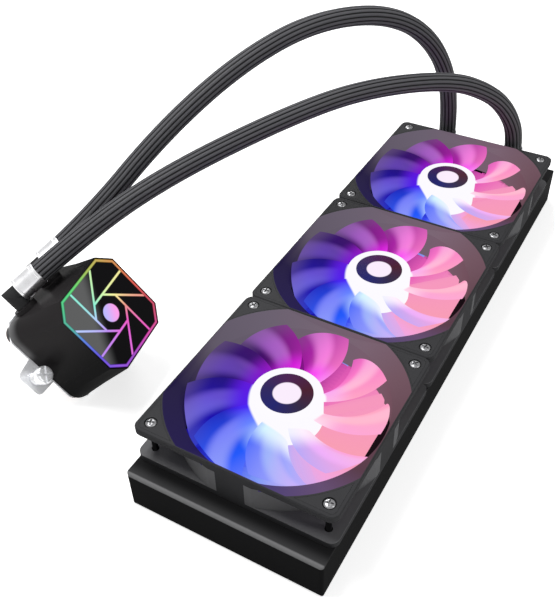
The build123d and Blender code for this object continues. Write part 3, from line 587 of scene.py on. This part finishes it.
def fanFinish(name, centreY):
    finish, tree, shader = newFinish(name, fanLight["off"], fanLight["roughness"],
                                     Specular_IOR_Level=0.0, Emission_Strength=1.0)
    wheel = wheelAt(tree, (0, centreY, 0))
    radius = wheel["Radius"]
    inner, bright, shade = (colourRing(tree, wheel["Turn"], fanLight[ring])
                            for ring in ("inner", "bright", "shade"))
    # the shade lies along the swept gaps between the blades
    out = calc(tree, "SUBTRACT", radius, fanLight["hubRadius"])
    growth = calc(tree, "MULTIPLY_ADD", out, fanLight["sweepGrowth"], fanLight["sweep"])
    swept = calc(tree, "SUBTRACT", wheel["Angle"], calc(tree, "MULTIPLY", out, growth))
    wave = calc(tree, "COSINE", calc(tree, "MULTIPLY", swept, fanLight["blades"]))
    blades = mixColours(tree, fade(tree, wave, fanLight["shadeAt"], fanLight["brightAt"]), shade, bright)
    # painted light: the outer blades are paler and greyer towards one side
    lean = leanTo(tree, wheel, fanLight["washTurn"])
    side = calc(tree, "MULTIPLY", lean, fanLight["washShare"], clamp=True)
    washed = calc(tree, "MULTIPLY", fade(tree, radius, fanLight["washFrom"], fanLight["washTo"]), side)
    blades = mixColours(tree, washed, blades, fanLight["wash"])
    blades = mixColours(tree, fade(tree, radius, fanLight["innerTo"], fanLight["bladesFrom"]), inner, blades)
    pastHub = fade(tree, radius, fanLight["hubRadius"], fanLight["hubRadius"] + fanLight["hubEdge"])
    joinUp(tree, mixColours(tree, pastHub, fanLight["hub"], blades), shader["Emission Color"])
    return finish


badge = {"ring": [(40, (72, 22, 42)), (120, (72, 26, 80)), (190, (42, 32, 92)), (260, (26, 30, 106)),
                  (330, (46, 34, 66))],
         "off": (12, 11, 16), "roughness": 0.18, "specular": 0.06, "window": (250, 236, 252),
         "windowRadius": 0.0078, "windowEdge": 0.0004}


def badgeFinish(name, centreY):
    finish, tree, shader = newFinish(name, badge["off"], badge["roughness"],
                                     Specular_IOR_Level=badge["specular"], Emission_Strength=1.0)
    wheel = wheelAt(tree, (0, centreY, 0))
    window = fade(tree, wheel["Radius"], badge["windowRadius"] + badge["windowEdge"],
                  badge["windowRadius"] - badge["windowEdge"])
    ring = colourRing(tree, wheel["Turn"], badge["ring"])
    joinUp(tree, mixColours(tree, window, ring, badge["window"]), shader["Emission Color"])
    return finish


# light that falls through the blades on the struts and fins, and on the funnel and duct
spill = {
    "through": [(0, (248, 158, 180)), (45, (246, 152, 190)), (75, (232, 96, 184)), (100, (140, 24, 140)),
                (140, (52, 2, 90)), (180, (26, 2, 100)), (220, (22, 6, 160)), (250, (56, 76, 240)),
                (275, (130, 155, 245)), (300, (190, 175, 246)), (330, (244, 165, 220))],
    "funnel": [(0, (92, 60, 68)), (40, (112, 82, 92)), (70, (118, 94, 108)), (100, (112, 96, 110)),
               (130, (104, 94, 108)), (165, (94, 86, 100)), (182, (62, 54, 76)), (200, (32, 24, 62)),
               (245, (28, 18, 72)), (290, (70, 56, 112)), (315, (96, 72, 108)), (335, (84, 54, 66))],
    "none": (0, 0, 0), "throughRadius": 0.0566, "ductRadius": 0.0578, "funnelRadius": 0.0672,
    "funnelLow": 0.0456, "side": 0.0591, "pitch": 0.12, "finLow": 0.002, "finHigh": 0.014,
    "finReach": 0.066, "funnelShade": (20, 18, 26),
}
frameLook = {"colour": (60, 60, 62), "low": 0.42, "high": 0.55, "depth": 0.16, "grain": 1100,
             "brace": (112, 112, 114), "braceLow": 0.0305, "braceHigh": 0.0465, "braceRadius": 0.0606}
finLook = {"colour": (24, 24, 25), "low": 0.45, "high": 0.6}


def ownFan(tree):
    # the wheel round the middle of the fan that a place belongs to, and the place's height
    place = splitPlace(tree)
    number = calc(tree, "ROUND", calc(tree, "DIVIDE", place["Y"], spill["pitch"]))
    own = calc(tree, "SUBTRACT", place["Y"], calc(tree, "MULTIPLY", number, spill["pitch"]))
    join = addNode(tree, "ShaderNodeCombineXYZ")
    for axis, value in (("X", place["X"]), ("Y", own), ("Z", place["Z"])):
        joinUp(tree, value, join.inputs[axis])
    return wheelAt(tree, (0, 0, 0), place=join.outputs["Vector"]), place["Z"]


def allOf(tree, *tests):
    # 1 where every test (a comparison, a value and a limit) holds
    results = [calc(tree, *test) for test in tests]
    whole = results[0]
    for result in results[1:]:
        whole = calc(tree, "MULTIPLY", whole, result)
    return whole


def frameFinish():
    finish = grained("framePlastic", frameLook["colour"], frameLook["low"], frameLook["high"],
                     depth=frameLook["depth"], grain=frameLook["grain"], Emission_Strength=1.0, **mattGloss)
    tree, shader, plain = reopen(finish)
    wheel, height = ownFan(tree)
    radius = wheel["Radius"]
    widest = calc(tree, "MAXIMUM", *sideReaches(tree, wheel))
    cone = allOf(tree, ("GREATER_THAN", height, spill["funnelLow"]),
                 ("LESS_THAN", radius, spill["funnelRadius"]), ("LESS_THAN", widest, spill["side"]))
    lined = calc(tree, "MAXIMUM", cone, calc(tree, "LESS_THAN", radius, spill["ductRadius"]))
    deep = calc(tree, "LESS_THAN", radius, spill["throughRadius"])
    light = mixColours(tree, lined, spill["none"], colourRing(tree, wheel["Turn"], spill["funnel"]))
    light = mixColours(tree, deep, light, colourRing(tree, wheel["Turn"], spill["through"]))
    joinUp(tree, light, shader["Emission Color"])
    # the braces between the two flanges catch more light than the flanges
    brace = allOf(tree, ("GREATER_THAN", height, frameLook["braceLow"]),
                  ("LESS_THAN", height, frameLook["braceHigh"]),
                  ("GREATER_THAN", radius, frameLook["braceRadius"]))
    braced = mixColours(tree, brace, plain, frameLook["brace"])
    # painted shade: the funnel and the duct are painted darker than the rest of the frame
    joinUp(tree, mixColours(tree, lined, braced, spill["funnelShade"]), shader["Base Color"])
    return finish


def finFinish():
    finish = grained("finPaint", finLook["colour"], finLook["low"], finLook["high"],
                     Emission_Strength=1.0, **mattGloss)
    tree, shader, _ = reopen(finish)
    wheel, height = ownFan(tree)
    lit = calc(tree, "MULTIPLY", fade(tree, height, spill["finLow"], spill["finHigh"]),
               fade(tree, wheel["Radius"], spill["finReach"], spill["ductRadius"]))
    light = mixColours(tree, lit, spill["none"], colourRing(tree, wheel["Turn"], spill["through"]))
    joinUp(tree, light, shader["Emission Color"])
    return finish


finishes |= {
    "screwSteel": screwFinish(), "panelGloss": panelFinish(), "radiatorPaint": paintFinish(),
    "housingPlastic": housingFinish(), "coldPlateCopper": plateFinish(), "framePlastic": frameFinish(),
    "finPaint": finFinish(),
    "ringLight": litFinish("ringLight", faceLight["ring"], ringOffset, strips["ringHalf"]),
    "barLight": litFinish("barLight", faceLight["bars"], barOffset, strips["barHalf"]),
}


def giveFinish(node, finish):
    piece = parts[node]
    if piece.material_slots:
        piece.material_slots[0].material = finish
    else:
        piece.data.materials.append(finish)


nodeFinishes = {
    "finPaint": ["radiator_tubes", "radiator_fins"],
    "radiatorPaint": ["side_rail_left", "side_rail_right", "end_tank", "port_tank"],
    "barbMetal": ["hose_barbs"], "screwSteel": ["fan_screws"], "boardGreen": ["pump_led_board"],
    "ferruleMetal": ["ferrule_front", "ferrule_rear", "port_ferrules"],
    "elbowPlastic": ["elbow_front", "elbow_rear"], "housingPlastic": ["pump_housing", "pump_impeller"],
    "ringLight": ["light_ring"], "barLight": ["light_bars"], "panelGloss": ["face_panel"],
    "copperWinding": ["pump_stator"], "magnetDark": ["pump_magnet"], "brightSteel": ["pump_shaft"],
    "sealRubber": ["pump_gasket"], "coldPlateCopper": ["cold_plate"], "plateScrewSteel": ["plate_screws"],
    "bracketSteel": ["mounting_bracket"],
    "springSteel": ["spring_screw_near", "spring_screw_far", "spring_near", "spring_far"],
}
fanFinishes = {"frame": "framePlastic", "corner_pads": "padRubber", "magnet_ring": "magnetDark",
               "shaft": "brightSteel", "bearing": "bearingBrass", "circuit_board": "boardGreen",
               "stator": "copperWinding"}
for finish, nodes in nodeFinishes.items():
    for node in nodes:
        giveFinish(node, finishes[finish])
for number, centreY in enumerate(fanCentres, 1):
    giveFinish(f"fan_{number}_rotor", fanFinish(f"fanGlow{number}", centreY))
    giveFinish(f"fan_{number}_hub_badge", badgeFinish(f"hubBadge{number}", centreY))
    for piece, finish in fanFinishes.items():
        giveFinish(f"fan_{number}_{piece}", finishes[finish])
print("finishes given to the nodes")


# hoses: a ribbed woven sleeve on each route; first, last, middle and start are in millimetres

hoses = {
    "front": {"turn": 49.0, "first": 49, "last": 24, "end": (0.027, 0.19225, 0.0291), "length": 0.448,
              "middle": [(-123, -48, 112), (-81, 22, 127), (-50, 76, 130), (-13, 138, 117),
                         (9, 170, 97), (21, 185, 76)]},
    "rear": {"turn": 52.0, "first": 38, "last": 45, "end": (-0.027, 0.19225, 0.0291), "length": 0.448,
             "middle": [(-139, -25, 127), (-113, 28, 156), (-86, 78, 169), (-56, 134, 158),
                        (-36, 172, 124)]},
}
sleeve = {"radius": 0.0065, "ribs": 14, "pointsPerRib": 4, "ribDepth": 0.00045, "step": 0.0022,
          "start": 5.55, "curveSteps": 40, "bendFrom": 0.075, "bendTo": 0.012, "mapScale": 10}


def elbowAt(name):
    # the elbow's corner and the way its outlet points
    turned = math.radians(hoses[name]["turn"])
    corner = onPump(pump["ports"][name], pump["elbowY"], pump["elbowHigh"])
    return corner, pumpOut * math.cos(turned) + pumpX * math.sin(turned)


def hoseRoute(name):
    corner, along = elbowAt(name)
    hose = hoses[name]
    begin = corner + along * (sleeve["start"] / 1000)
    end = Vector(hose["end"])
    middle = [Vector(point) / 1000 for point in hose["middle"]]
    above = end + Vector((0, 0, hose["last"] / 1000))
    return [begin, begin + along * hose["first"] / 1000, *middle, above, end], along


def smoothPath(name, points):
    curve = bpy.data.curves.new(name, "CURVE")
    curve.dimensions = "3D"
    curve.resolution_u = sleeve["curveSteps"]
    spline = curve.splines.new("NURBS")
    spline.points.add(len(points) - 1)
    for target, point in zip(spline.points, points):
        target.co = (*point, 1)
    spline.order_u = 3
    spline.use_endpoint_u = True
    holder = bpy.data.objects.new(name, curve)
    mesh = bpy.data.meshes.new_from_object(holder)
    line = np.array([v.co for v in mesh.vertices])
    bpy.data.objects.remove(holder)
    bpy.data.curves.remove(curve)
    bpy.data.meshes.remove(mesh)
    return line


def evenSteps(line, step):
    run = np.concatenate([[0], np.cumsum(np.linalg.norm(np.diff(line, axis=0), axis=1))])
    places = np.linspace(0, run[-1], max(2, round(run[-1] / step)) + 1)
    return np.column_stack([np.interp(places, run, line[:, i]) for i in range(3)]), places


def sleeveMesh(name, line, places):
    count = sleeve["ribs"] * sleeve["pointsPerRib"]
    ahead = np.gradient(line, axis=0)
    ahead /= np.linalg.norm(ahead, axis=1)[:, None]
    side = np.cross(ahead[0], (0, 0, 1.0))
    side /= np.linalg.norm(side)
    points, corners = [], []
    for here, forward in zip(line, ahead):
        side = side - forward * side.dot(forward)
        side /= np.linalg.norm(side)
        other = np.cross(forward, side)
        for i in range(count):
            angle = 2 * math.pi * i / count
            radius = sleeve["radius"] - sleeve["ribDepth"] * (0.5 - 0.5 * math.cos(angle * sleeve["ribs"]))
            points.append(here + (side * math.cos(angle) + other * math.sin(angle)) * radius)
    rings = len(line)
    for ring in range(rings - 1):
        low, high = ring * count, (ring + 1) * count
        for i in range(count):
            j = (i + 1) % count
            corners.append((low + i, low + j, high + j, high + i))
    corners.append(tuple(reversed(range(count))))
    corners.append(tuple(range((rings - 1) * count, rings * count)))
    mesh = bpy.data.meshes.new(name)
    mesh.from_pydata([tuple(p) for p in points], [], corners)
    layer = mesh.uv_layers.new(name="sleeveMap")
    for face in mesh.polygons:
        spots = [divmod(mesh.loops[loop].vertex_index, count) for loop in face.loop_indices]
        # a face on the seam ends at the far side of the map
        seam = any(i == count - 1 for ring, i in spots)
        for loop, (ring, i) in zip(face.loop_indices, spots):
            around = count if seam and i == 0 else i
            layer.data[loop].uv = (around / count, places[ring] * sleeve["mapScale"])
    mesh.polygons.foreach_set("use_smooth", [True] * len(mesh.polygons))
    piece = bpy.data.objects.new(name, mesh)
    bpy.context.scene.collection.objects.link(piece)
    return piece


# woven sleeve: strands cross on a diamond, 72 round the hose and one pair every 1.6 mm
weave = {"colour": (52, 52, 56), "strands": (126, 126, 130), "roughness": 0.5, "round": 36,
         "along": 62, "bump": 0.00015, "strand": 0.32, "between": 0.68, "foldAt": -1.0,
         "ribAt": 0.2, "lowest": 0.06,
         "coat": 0.14, "coatRoughness": 0.3}


def weaveFinish():
    finish, tree, shader = newFinish("wovenSleeve", weave["colour"], weave["roughness"],
                                     Specular_IOR_Level=0.0, Coat_Weight=weave["coat"],
                                     Coat_Roughness=weave["coatRoughness"])
    uv = addNode(tree, "ShaderNodeUVMap", uv_map="sleeveMap")
    split = addNode(tree, "ShaderNodeSeparateXYZ")
    joinUp(tree, uv.outputs["UV"], split.inputs["Vector"])
    around = calc(tree, "MULTIPLY", split.outputs["X"], weave["round"] * 2 * math.pi)
    along = calc(tree, "MULTIPLY", split.outputs["Y"], weave["along"] * 2 * math.pi)
    strands = [calc(tree, "SINE", calc(tree, kind, around, along)) for kind in ("ADD", "SUBTRACT")]
    woven = calc(tree, "MULTIPLY", *strands)
    bump = addNode(tree, "ShaderNodeBump", {"Distance": weave["bump"], "Strength": 1.0})
    joinUp(tree, woven, bump.inputs["Height"])
    joinUp(tree, bump.outputs["Normal"], shader["Normal"])
    # painted shade in the folds between the ribs
    rib = calc(tree, "COSINE", calc(tree, "MULTIPLY", split.outputs["X"], sleeve["ribs"] * 2 * math.pi))
    strand = calc(tree, "MULTIPLY_ADD", woven, weave["strand"], weave["between"])
    level = calc(tree, "MULTIPLY", strand, fade(tree, rib, weave["foldAt"], weave["ribAt"]))
    level = calc(tree, "ADD", level, weave["lowest"])
    joinUp(tree, mixColours(tree, 1.0, weave["strands"], level, "MULTIPLY"), shader["Base Color"])
    return finish


sleeveFinish = weaveFinish()
for name, hose in hoses.items():
    points, along = hoseRoute(name)
    line, places = evenSteps(smoothPath(f"route{name}", points), sleeve["step"])
    piece = sleeveMesh(f"hoseSleeve{name.capitalize()}", line, places)
    piece.data.materials.append(sleeveFinish)
    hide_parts(f"hose_{name}")
    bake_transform(piece)
    print("hose", name, "length", round(float(places[-1]), 4))


# radiator core: fine folded fins in each gap between the tubes

fins = {"width": 0.00788, "low": 0.0035, "height": 0.020, "pitch": 0.003, "folds": 120, "strips": 12,
        "stripStep": 0.0097833, "firstX": -0.0538083, "firstY": -0.1785, "sheet": 0.00012,
        "merge": 0.00002}


def markVertices(piece, test):
    # edit mode with only the vertices at the places that pass
    pickOnly(piece)
    bpy.ops.object.mode_set(mode="EDIT")
    bpy.ops.mesh.select_all(action="DESELECT")
    bpy.ops.object.mode_set(mode="OBJECT")
    for vertex in piece.data.vertices:
        vertex.select = test(vertex.co)
    bpy.ops.object.mode_set(mode="EDIT")


def finishPiece(piece, name, finish, body):
    piece.name = name
    piece.data.materials.clear()
    piece.data.materials.append(finish)
    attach(piece, body)


pickNothing()
bpy.ops.mesh.primitive_plane_add(size=1, rotation=(math.pi / 2, 0, 0))
finPiece = bpy.context.object
finPiece.scale = (fins["width"], fins["height"], 1)
applyAll(finPiece)
markVertices(finPiece, lambda co: co.x < 0)
bpy.ops.transform.translate(value=(0, -fins["pitch"] / 2, 0))
bpy.ops.object.mode_set(mode="OBJECT")
steps = {"use_relative_offset": False, "use_constant_offset": True}
addModifier(finPiece, "MIRROR", use_axis=(False, True, False), merge_threshold=fins["merge"])
addModifier(finPiece, "ARRAY", count=fins["folds"], constant_offset_displace=(0, fins["pitch"], 0),
            use_merge_vertices=True, merge_threshold=fins["merge"], **steps)
addModifier(finPiece, "ARRAY", count=fins["strips"],
            constant_offset_displace=(fins["stripStep"], 0, 0), **steps)
addModifier(finPiece, "SOLIDIFY", thickness=fins["sheet"], offset=0)
finPiece.location = (fins["firstX"], fins["firstY"], fins["low"] + fins["height"] / 2)
applyAll(finPiece)
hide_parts("radiator_fins")
finishPiece(finPiece, "radiatorFinFolds", finishes["finPaint"], "cooler")
print("radiator fins folded")


# turned pieces: a profile of (radius, height) in millimetres swept round its axis

turning = {"merge": 0.00001, "smoothAngle": 35}


def turnedPiece(profile, segments, rise=0.0, turns=1, closed=False):
    mesh = bpy.data.meshes.new("profile")
    points = [(radius / 1000, 0, height / 1000) for radius, height in profile]
    links = [(i, i + 1) for i in range(len(points) - 1)]
    if closed:
        links.append((len(points) - 1, 0))
    mesh.from_pydata(points, links, [])
    piece = bpy.data.objects.new("turned", mesh)
    bpy.context.scene.collection.objects.link(piece)
    addModifier(piece, "SCREW", angle=2 * math.pi, steps=segments, render_steps=segments,
                screw_offset=rise / 1000, iterations=turns, use_merge_vertices=True,
                merge_threshold=turning["merge"], use_normal_calculate=True)
    applyAll(piece)
    bpy.ops.object.mode_set(mode="EDIT")
    bpy.ops.mesh.select_all(action="SELECT")
    bpy.ops.mesh.remove_doubles(threshold=turning["merge"])
    bpy.ops.mesh.normals_make_consistent(inside=False)
    bpy.ops.object.mode_set(mode="OBJECT")
    bpy.ops.object.shade_smooth_by_angle(angle=math.radians(turning["smoothAngle"]))
    return piece


def standOn(piece, place, axis, across=None):
    # set the piece's own Z along the axis, at the place
    axis = Vector(axis).normalized()
    across = Vector(across) if across else axis.orthogonal()
    across = (across - axis * across.dot(axis)).normalized()
    turn = Matrix((across, axis.cross(across), axis)).transposed().to_4x4()
    piece.matrix_world = Matrix.Translation(place) @ turn
    applyAll(piece)


# long fan screws with a rounded cross head and a rolled thread: the head and thread in millimetres

screwForm = {"holes": 0.0525, "seatZ": 0.0508, "twist": 0.7, "headHeight": 1.8, "headSides": 28,
             "head": [(0.001, 0), (3.25, 0), (3.25, 0.5), (3.0, 1.05), (2.35, 1.5), (1.5, 1.72),
                      (0.001, 1.8)],
             "coreRadius": 1.35, "threadRadius": 1.68, "pitch": 0.75, "turns": 35, "threadSides": 14,
             "slot": (0.0042, 0.00085, 0.0026), "slotTurn": 0.4}


def fanScrew():
    head = turnedPiece(screwForm["head"], screwForm["headSides"])
    top = (0, 0, screwForm["headHeight"] / 1000)
    for slotTurn in (screwForm["slotTurn"], screwForm["slotTurn"] + math.pi / 2):
        pickNothing()
        bpy.ops.mesh.primitive_cube_add(size=1, location=top, rotation=(0, 0, slotTurn))
        cutter = bpy.context.object
        cutter.scale = screwForm["slot"]
        bpy.ops.object.transform_apply(location=True, rotation=True, scale=True)
        addModifier(head, "BOOLEAN", operation="DIFFERENCE", object=cutter, solver="EXACT")
        applyAll(head)
        bpy.data.objects.remove(cutter)
    core, outer, pitch = screwForm["coreRadius"], screwForm["threadRadius"], screwForm["pitch"]
    low = -pitch * screwForm["turns"]
    thread = turnedPiece([(core, low), (outer, low + pitch * 0.5), (core, low + pitch)],
                         screwForm["threadSides"], rise=pitch, turns=screwForm["turns"] - 1)
    pickOnly(head)
    thread.select_set(True)
    bpy.ops.object.join()
    return head


firstScrew = fanScrew()
screws = []
for centreY in fanCentres:
    for sideX in (-1, 1):
        for sideY in (-1, 1):
            copy = firstScrew.copy()
            copy.data = firstScrew.data.copy()
            bpy.context.scene.collection.objects.link(copy)
            copy.location = (sideX * screwForm["holes"], centreY + sideY * screwForm["holes"],
                             screwForm["seatZ"])
            copy.rotation_euler = (0, 0, screwForm["twist"] * len(screws))
            screws.append(copy)
bpy.data.objects.remove(firstScrew)
pickNothing()
for screw in screws:
    screw.select_set(True)
bpy.context.view_layer.objects.active = screws[0]
bpy.ops.object.join()
allScrews = bpy.context.object
applyAll(allScrews)
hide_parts("fan_screws")
finishPiece(allScrews, "fanScrewSet", finishes["screwSteel"], "cooler")
print("fan screws turned")


# crimped ferrules: a flared rim at the fitting, a plain bright barrel and a rolled lip at the hose

ferrule = {"start": 4.85, "sides": 48,
           "profile": [(5.02, 0), (7.58, 0), (7.78, 0.25), (7.78, 1.3), (7.28, 1.6), (7.28, 13.0),
                       (7.1, 13.25), (7.1, 13.7), (7.28, 13.95), (7.28, 15.3), (7.03, 15.6),
                       (6.56, 15.6), (6.56, 0.35), (5.02, 0.35)]}
for name in hoses:
    corner, along = elbowAt(name)
    piece = turnedPiece(ferrule["profile"], ferrule["sides"], closed=True)
    standOn(piece, corner + along * (ferrule["start"] / 1000), along)
    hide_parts(f"ferrule_{name}")
    finishPiece(piece, f"ferrule{name.capitalize()}", finishes["ferruleMetal"], f"elbow_{name}_body")
print("ferrules turned")


# springs of the two captive screws, in millimetres on the pump head

coil = {"x": 39.5, "foot": 5.6, "anchor": 5.0, "wire": 0.5, "radius": 3.8, "rise": 6.4, "turns": 5,
        "squashed": 0.46, "wireSides": 10, "sides": 40}
wireTurns = [2 * math.pi * i / coil["wireSides"] for i in range(coil["wireSides"])]
wireRing = [(coil["radius"] + coil["wire"] * math.cos(a), coil["wire"] * math.sin(a)) for a in wireTurns]
for name, side in (("near", -1), ("far", 1)):
    piece = turnedPiece(wireRing, coil["sides"], rise=coil["rise"] / coil["turns"],
                        turns=coil["turns"], closed=True)
    standOn(piece, onPump(side * coil["x"], 0, coil["foot"]), pumpOut, pumpX)
    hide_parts(f"spring_{name}")
    finishPiece(piece, f"spring{name.capitalize()}", finishes["springSteel"], "cooler")
    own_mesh(piece)
print("springs wound")
